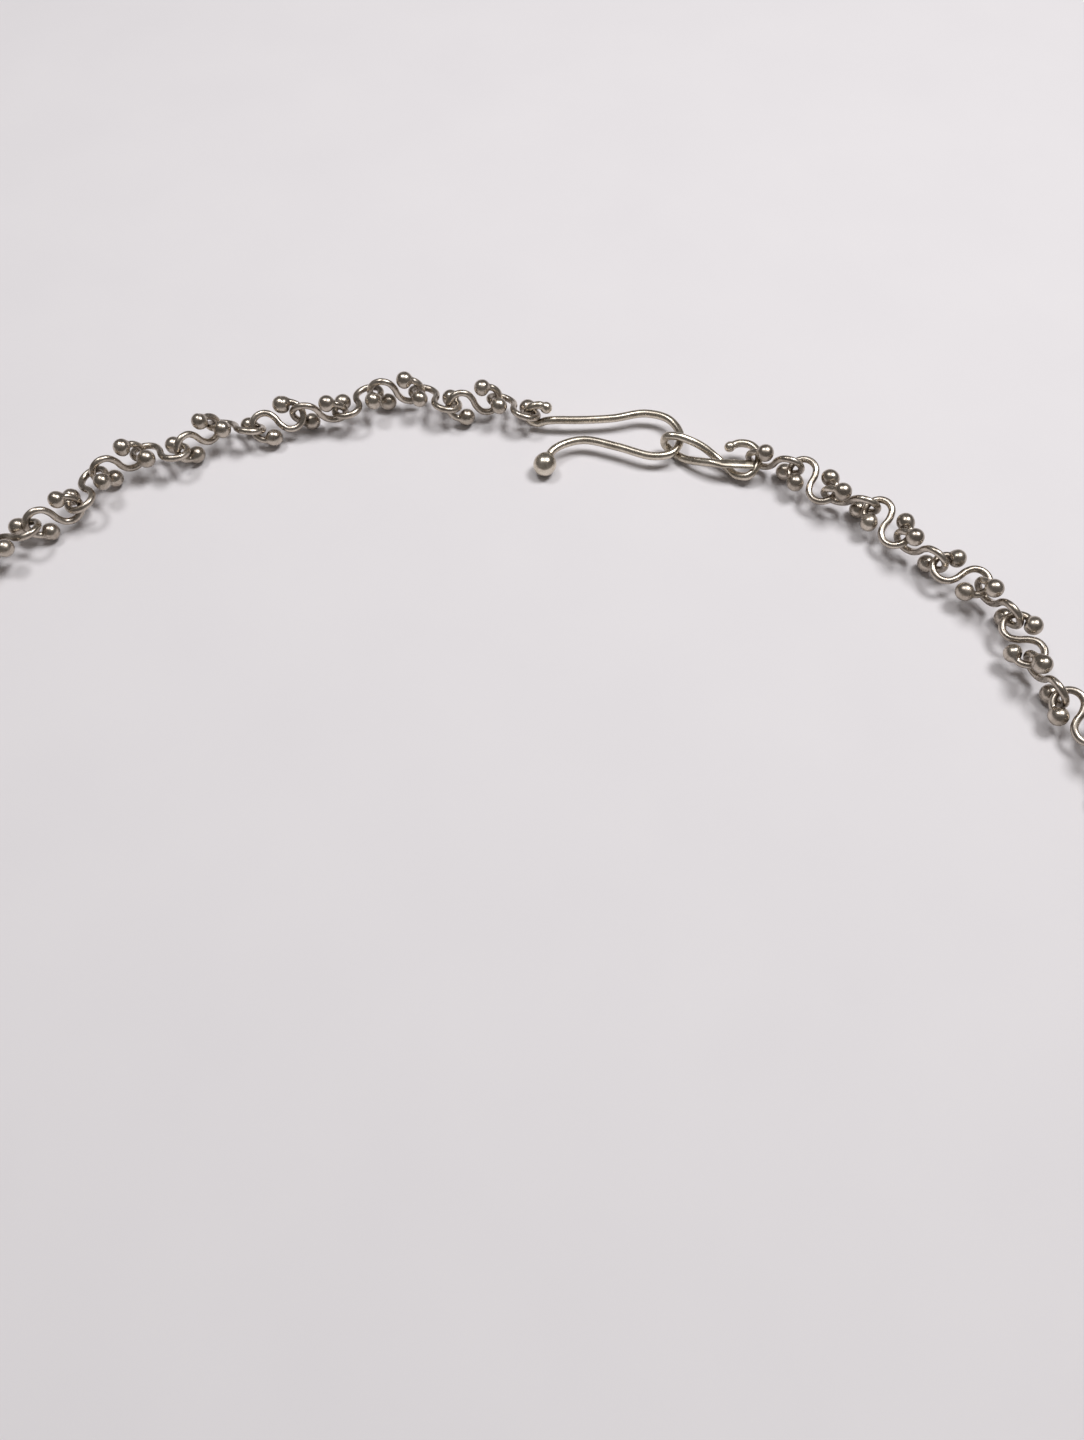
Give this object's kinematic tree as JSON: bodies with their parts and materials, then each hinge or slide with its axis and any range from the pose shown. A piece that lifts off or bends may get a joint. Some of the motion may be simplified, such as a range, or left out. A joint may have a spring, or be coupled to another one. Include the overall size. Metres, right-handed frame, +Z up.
{
  "type": "chain necklace",
  "caption": "Silver chain necklace of S-shaped wire links with balled ends, closed by a long shepherd's hook and a twisted figure-eight eye.",
  "frame": {"origin": "under the middle of the ring's bounding box, on the table it lies on", "axes": "+Z up from the table, +Y from the middle of the ring to the clasp, +X to the right from the hook to the eye"},
  "size_m": [0.1462, 0.145, 0.0057],
  "materials": {
    "link_silver": "sterling silver wire with fire-melted ball ends, slightly tarnished and warm grey",
    "clasp_silver": "sterling silver, smoother and brighter where it is handled"
  },
  "bodies": {
    "shepherd_hook": {"shepherd_hook": "clasp_silver"},
    "figure_eight_eye": {"figure_eight_eye": "clasp_silver"},
    "left_link_01": {"left_link_01": "link_silver"},
    "left_link_02": {"left_link_02": "link_silver"},
    "left_link_03": {"left_link_03": "link_silver"},
    "left_link_04": {"left_link_04": "link_silver"},
    "left_link_05": {"left_link_05": "link_silver"},
    "left_link_06": {"left_link_06": "link_silver"},
    "left_link_07": {"left_link_07": "link_silver"},
    "left_link_08": {"left_link_08": "link_silver"},
    "left_link_09": {"left_link_09": "link_silver"},
    "left_link_10": {"left_link_10": "link_silver"},
    "left_link_11": {"left_link_11": "link_silver"},
    "left_link_12": {"left_link_12": "link_silver"},
    "left_link_13": {"left_link_13": "link_silver"},
    "left_link_14": {"left_link_14": "link_silver"},
    "left_link_15": {"left_link_15": "link_silver"},
    "left_link_pair_01": {"left_link_pair_01": "link_silver"},
    "left_link_pair_02": {"left_link_pair_02": "link_silver"},
    "left_link_pair_03": {"left_link_pair_03": "link_silver"},
    "left_link_pair_04": {"left_link_pair_04": "link_silver"},
    "left_link_pair_05": {"left_link_pair_05": "link_silver"},
    "left_link_pair_06": {"left_link_pair_06": "link_silver"},
    "left_link_pair_07": {"left_link_pair_07": "link_silver"},
    "left_link_pair_08": {"left_link_pair_08": "link_silver"},
    "left_link_pair_09": {"left_link_pair_09": "link_silver"},
    "left_link_pair_10": {"left_link_pair_10": "link_silver"},
    "left_link_pair_11": {"left_link_pair_11": "link_silver"},
    "left_link_pair_12": {"left_link_pair_12": "link_silver"},
    "right_link_01": {"right_link_01": "link_silver"},
    "right_link_02": {"right_link_02": "link_silver"},
    "right_link_03": {"right_link_03": "link_silver"},
    "right_link_04": {"right_link_04": "link_silver"},
    "right_link_05": {"right_link_05": "link_silver"},
    "right_link_06": {"right_link_06": "link_silver"},
    "right_link_07": {"right_link_07": "link_silver"},
    "right_link_08": {"right_link_08": "link_silver"},
    "right_link_09": {"right_link_09": "link_silver"},
    "right_link_10": {"right_link_10": "link_silver"},
    "right_link_11": {"right_link_11": "link_silver"},
    "right_link_12": {"right_link_12": "link_silver"},
    "right_link_13": {"right_link_13": "link_silver"},
    "right_link_pair_01": {"right_link_pair_01": "link_silver"},
    "right_link_pair_02": {"right_link_pair_02": "link_silver"},
    "right_link_pair_03": {"right_link_pair_03": "link_silver"},
    "right_link_pair_04": {"right_link_pair_04": "link_silver"},
    "right_link_pair_05": {"right_link_pair_05": "link_silver"},
    "right_link_pair_06": {"right_link_pair_06": "link_silver"},
    "right_link_pair_07": {"right_link_pair_07": "link_silver"},
    "right_link_pair_08": {"right_link_pair_08": "link_silver"},
    "right_link_pair_09": {"right_link_pair_09": "link_silver"},
    "right_link_pair_10": {"right_link_pair_10": "link_silver"},
    "right_link_pair_11": {"right_link_pair_11": "link_silver"},
    "right_link_pair_12": {"right_link_pair_12": "link_silver"},
    "right_link_pair_13": {"right_link_pair_13": "link_silver"}
  },
  "joints": [
    {"name": "figure_eight_eye_swing", "type": "hinge", "parent": "shepherd_hook", "child": "figure_eight_eye", "pos_m": [0.02631, 0.06305, 0.00182], "axis": [0.3499, 0.9368, 0], "range_deg": [-15, 15]},
    {"name": "left_link_01_swing", "type": "hinge", "parent": "shepherd_hook", "child": "left_link_01", "pos_m": [0.00871, 0.06723, 0.00234], "axis": [0.253, 0.8526, -0.4573], "range_deg": [-7, 15]},
    {"name": "left_link_02_swing", "type": "hinge", "parent": "left_link_01", "child": "left_link_02", "pos_m": [0.00278, 0.07001, 0.00284], "axis": [-0.253, -0.8526, 0.4573], "range_deg": [-30, 10]},
    {"name": "left_link_03_swing", "type": "hinge", "parent": "left_link_02", "child": "left_link_03", "pos_m": [-0.00119, 0.06832, 0.00271], "axis": [0.31, 0.8763, -0.3687], "range_deg": [-30, 30]},
    {"name": "left_link_04_swing", "type": "hinge", "parent": "left_link_03", "child": "left_link_04", "pos_m": [-0.00708, 0.07123, 0.00294], "axis": [-0.31, -0.8763, 0.3687], "range_deg": [-30, 30]},
    {"name": "left_link_05_swing", "type": "hinge", "parent": "left_link_04", "child": "left_link_05", "pos_m": [-0.01125, 0.07125, 0.00291], "axis": [-0.5216, 0.8188, -0.24], "range_deg": [-30, 30]},
    {"name": "left_link_06_swing", "type": "hinge", "parent": "left_link_05", "child": "left_link_06", "pos_m": [-0.01641, 0.06717, 0.00287], "axis": [0.5216, -0.8188, 0.24], "range_deg": [-30, 30]},
    {"name": "left_link_07_swing", "type": "hinge", "parent": "left_link_06", "child": "left_link_07", "pos_m": [-0.02055, 0.06739, 0.00291], "axis": [-0.2401, 0.746, 0.6211], "range_deg": [-25, 25]},
    {"name": "left_link_08_swing", "type": "hinge", "parent": "left_link_07", "child": "left_link_08", "pos_m": [-0.02544, 0.06536, 0.00215], "axis": [0.1851, -0.8222, 0.5382], "range_deg": [-25, 25]},
    {"name": "left_link_09_swing", "type": "hinge", "parent": "left_link_08", "child": "left_link_09", "pos_m": [-0.03196, 0.06521, 0.00297], "axis": [-0.1851, 0.8222, -0.5382], "range_deg": [-30, 30]},
    {"name": "left_link_10_swing", "type": "hinge", "parent": "left_link_09", "child": "left_link_10", "pos_m": [-0.03402, 0.06125, 0.00283], "axis": [0.1885, -0.9331, 0.3062], "range_deg": [-30, 30]},
    {"name": "left_link_11_swing", "type": "hinge", "parent": "left_link_10", "child": "left_link_11", "pos_m": [-0.04057, 0.06064, 0.0029], "axis": [-0.1885, 0.9331, -0.3062], "range_deg": [-30, 30]},
    {"name": "left_link_12_swing", "type": "hinge", "parent": "left_link_11", "child": "left_link_12", "pos_m": [-0.04392, 0.05819, 0.00291], "axis": [0.8537, -0.4439, 0.2723], "range_deg": [-30, 30]},
    {"name": "left_link_13_swing", "type": "hinge", "parent": "left_link_12", "child": "left_link_13", "pos_m": [-0.04632, 0.05207, 0.00279], "axis": [-0.8537, 0.4439, -0.2723], "range_deg": [-30, 30]},
    {"name": "left_link_14_swing", "type": "hinge", "parent": "left_link_13", "child": "left_link_14", "pos_m": [-0.05007, 0.05025, 0.00279], "axis": [0.6993, -0.6108, 0.3715], "range_deg": [-30, 30]},
    {"name": "left_link_15_swing", "type": "hinge", "parent": "left_link_14", "child": "left_link_15", "pos_m": [-0.05491, 0.0458, 0.00287], "axis": [-0.6993, 0.6108, -0.3715], "range_deg": [-30, 30]},
    {"name": "left_link_pair_01_swing", "type": "hinge", "parent": "left_link_15", "child": "left_link_pair_01", "pos_m": [-0.05771, 0.04289, 0.00281], "axis": [0.8011, -0.4692, 0.3716], "range_deg": [-30, 30]},
    {"name": "left_link_pair_02_swing", "type": "hinge", "parent": "left_link_pair_01", "child": "left_link_pair_02", "pos_m": [-0.0619, 0.03275, 0.00284], "axis": [-0.7134, 0.5612, -0.4197], "range_deg": [-30, 30]},
    {"name": "left_link_pair_03_swing", "type": "hinge", "parent": "left_link_pair_02", "child": "left_link_pair_03", "pos_m": [-0.06597, 0.02316, 0.00284], "axis": [0.8019, -0.46, 0.3811], "range_deg": [-30, 30]},
    {"name": "left_link_pair_04_swing", "type": "hinge", "parent": "left_link_pair_03", "child": "left_link_pair_04", "pos_m": [-0.06857, 0.01308, 0.00282], "axis": [-0.8809, 0.3439, -0.3253], "range_deg": [-30, 30]},
    {"name": "left_link_pair_05_swing", "type": "hinge", "parent": "left_link_pair_04", "child": "left_link_pair_05", "pos_m": [-0.06963, 0.00272, 0.0028], "axis": [0.9126, -0.2028, 0.355], "range_deg": [-30, 30]},
    {"name": "left_link_pair_06_swing", "type": "hinge", "parent": "left_link_pair_05", "child": "left_link_pair_06", "pos_m": [-0.06913, -0.00768, 0.00283], "axis": [-0.9077, 0.0606, -0.4153], "range_deg": [-30, 30]},
    {"name": "left_link_pair_07_swing", "type": "hinge", "parent": "left_link_pair_06", "child": "left_link_pair_07", "pos_m": [-0.06709, -0.0179, 0.00284], "axis": [0.9151, 0.0726, 0.3967], "range_deg": [-30, 30]},
    {"name": "left_link_pair_08_swing", "type": "hinge", "parent": "left_link_pair_07", "child": "left_link_pair_08", "pos_m": [-0.06355, -0.02769, 0.00283], "axis": [-0.919, -0.2113, -0.3328], "range_deg": [-30, 30]},
    {"name": "left_link_pair_09_swing", "type": "hinge", "parent": "left_link_pair_08", "child": "left_link_pair_09", "pos_m": [-0.05859, -0.03685, 0.0028], "axis": [0.8737, 0.3476, 0.3404], "range_deg": [-30, 30]},
    {"name": "left_link_pair_10_swing", "type": "hinge", "parent": "left_link_pair_09", "child": "left_link_pair_10", "pos_m": [-0.05232, -0.04516, 0.00282], "axis": [-0.7879, -0.4633, -0.4056], "range_deg": [-30, 30]},
    {"name": "left_link_pair_11_swing", "type": "hinge", "parent": "left_link_pair_10", "child": "left_link_pair_11", "pos_m": [-0.04488, -0.05245, 0.00284], "axis": [0.7103, 0.5727, 0.4093], "range_deg": [-30, 30]},
    {"name": "left_link_pair_12_swing", "type": "hinge", "parent": "left_link_pair_11", "child": "left_link_pair_12", "pos_m": [-0.03644, -0.05855, 0.00283], "axis": [-0.6374, -0.689, -0.345], "range_deg": [-30, 30]},
    {"name": "right_link_01_swing", "type": "hinge", "parent": "figure_eight_eye", "child": "right_link_01", "pos_m": [0.03581, 0.06015, 0.00237], "axis": [-0.3516, -0.9342, -0.0603], "range_deg": [-30, 30]},
    {"name": "right_link_02_swing", "type": "hinge", "parent": "right_link_01", "child": "right_link_02", "pos_m": [0.03963, 0.05899, 0.00283], "axis": [0.6246, 0.703, 0.3403], "range_deg": [-30, 30]},
    {"name": "right_link_03_swing", "type": "hinge", "parent": "right_link_02", "child": "right_link_03", "pos_m": [0.04407, 0.05414, 0.00284], "axis": [-0.6246, -0.703, -0.3403], "range_deg": [-30, 30]},
    {"name": "right_link_04_swing", "type": "hinge", "parent": "right_link_03", "child": "right_link_04", "pos_m": [0.04807, 0.05298, 0.00278], "axis": [0.7095, 0.5786, 0.4023], "range_deg": [-30, 30]},
    {"name": "right_link_05_swing", "type": "hinge", "parent": "right_link_04", "child": "right_link_05", "pos_m": [0.05161, 0.04744, 0.00293], "axis": [-0.7095, -0.5786, -0.4023], "range_deg": [-30, 30]},
    {"name": "right_link_06_swing", "type": "hinge", "parent": "right_link_05", "child": "right_link_06", "pos_m": [0.05459, 0.04471, 0.00291], "axis": [0.6814, 0.6916, 0.2397], "range_deg": [-30, 30]},
    {"name": "right_link_07_swing", "type": "hinge", "parent": "right_link_06", "child": "right_link_07", "pos_m": [0.05972, 0.04061, 0.00284], "axis": [-0.6814, -0.6916, -0.2397], "range_deg": [-30, 30]},
    {"name": "right_link_08_swing", "type": "hinge", "parent": "right_link_07", "child": "right_link_08", "pos_m": [0.06214, 0.03723, 0.00289], "axis": [0.9618, -0.0138, 0.2733], "range_deg": [-30, 30]},
    {"name": "right_link_09_swing", "type": "hinge", "parent": "right_link_08", "child": "right_link_09", "pos_m": [0.06273, 0.03069, 0.00283], "axis": [-0.9618, 0.0138, -0.2733], "range_deg": [-30, 30]},
    {"name": "right_link_10_swing", "type": "hinge", "parent": "right_link_09", "child": "right_link_10", "pos_m": [0.06458, 0.02702, 0.00283], "axis": [0.6857, 0.6052, 0.4045], "range_deg": [-5, 30]},
    {"name": "right_link_11_swing", "type": "hinge", "parent": "right_link_10", "child": "right_link_11", "pos_m": [0.06837, 0.02165, 0.00285], "axis": [-0.6857, -0.6052, -0.4045], "range_deg": [-30, 5]},
    {"name": "right_link_12_swing", "type": "hinge", "parent": "right_link_11", "child": "right_link_12", "pos_m": [0.06928, 0.01766, 0.00279], "axis": [0.9142, 0.1622, 0.3715], "range_deg": [-30, 30]},
    {"name": "right_link_13_swing", "type": "hinge", "parent": "right_link_12", "child": "right_link_13", "pos_m": [0.06971, 0.0111, 0.00287], "axis": [-0.9142, -0.1622, -0.3715], "range_deg": [-30, 30]},
    {"name": "right_link_pair_01_swing", "type": "hinge", "parent": "right_link_13", "child": "right_link_pair_01", "pos_m": [0.0711, 0.00726, 0.00281], "axis": [0.9253, -0.0759, 0.3716], "range_deg": [-30, 30]},
    {"name": "right_link_pair_02_swing", "type": "hinge", "parent": "right_link_pair_01", "child": "right_link_pair_02", "pos_m": [0.07193, -0.00368, 0.00284], "axis": [-0.8545, 0.306, -0.4197], "range_deg": [-30, 30]},
    {"name": "right_link_pair_03_swing", "type": "hinge", "parent": "right_link_pair_02", "child": "right_link_pair_03", "pos_m": [0.07046, -0.01434, 0.00284], "axis": [0.8121, -0.4419, 0.3811], "range_deg": [-30, 30]},
    {"name": "right_link_pair_04_swing", "type": "hinge", "parent": "right_link_pair_03", "child": "right_link_pair_04", "pos_m": [0.06742, -0.02466, 0.00282], "axis": [-0.7531, 0.5718, -0.3253], "range_deg": [-30, 30]},
    {"name": "right_link_pair_05_swing", "type": "hinge", "parent": "right_link_pair_04", "child": "right_link_pair_05", "pos_m": [0.06287, -0.03442, 0.0028], "axis": [0.6545, -0.6675, 0.355], "range_deg": [-30, 30]},
    {"name": "right_link_pair_06_swing", "type": "hinge", "parent": "right_link_pair_05", "child": "right_link_pair_06", "pos_m": [0.05692, -0.04338, 0.00283], "axis": [-0.5347, 0.736, -0.4153], "range_deg": [-30, 30]},
    {"name": "right_link_pair_07_swing", "type": "hinge", "parent": "right_link_pair_06", "child": "right_link_pair_07", "pos_m": [0.04969, -0.05136, 0.00284], "axis": [0.4198, -0.8163, 0.3967], "range_deg": [-30, 30]},
    {"name": "right_link_pair_08_swing", "type": "hinge", "parent": "right_link_pair_07", "child": "right_link_pair_08", "pos_m": [0.04136, -0.05817, 0.00283], "axis": [-0.2991, 0.8943, -0.3328], "range_deg": [-30, 30]},
    {"name": "right_link_pair_09_swing", "type": "hinge", "parent": "right_link_pair_08", "child": "right_link_pair_09", "pos_m": [0.03211, -0.06366, 0.0028], "axis": [0.1649, -0.9257, 0.3404], "range_deg": [-30, 30]},
    {"name": "right_link_pair_10_swing", "type": "hinge", "parent": "right_link_pair_09", "child": "right_link_pair_10", "pos_m": [0.02214, -0.06772, 0.00282], "axis": [-0.0275, 0.9136, -0.4056], "range_deg": [-30, 30]},
    {"name": "right_link_pair_11_swing", "type": "hinge", "parent": "right_link_pair_10", "child": "right_link_pair_11", "pos_m": [0.01168, -0.07025, 0.00284], "axis": [-0.111, -0.9056, 0.4093], "range_deg": [-30, 30]},
    {"name": "right_link_pair_12_swing", "type": "hinge", "parent": "right_link_pair_11", "child": "right_link_pair_12", "pos_m": [0.00096, -0.07118, 0.00283], "axis": [0.2552, 0.9032, -0.345], "range_deg": [-30, 30]},
    {"name": "right_link_pair_13_swing", "type": "hinge", "parent": "right_link_pair_12", "child": "right_link_pair_13", "pos_m": [-0.00978, -0.07051, 0.00281], "axis": [-0.3875, -0.8609, 0.3296], "range_deg": [-30, 30]}
  ]
}
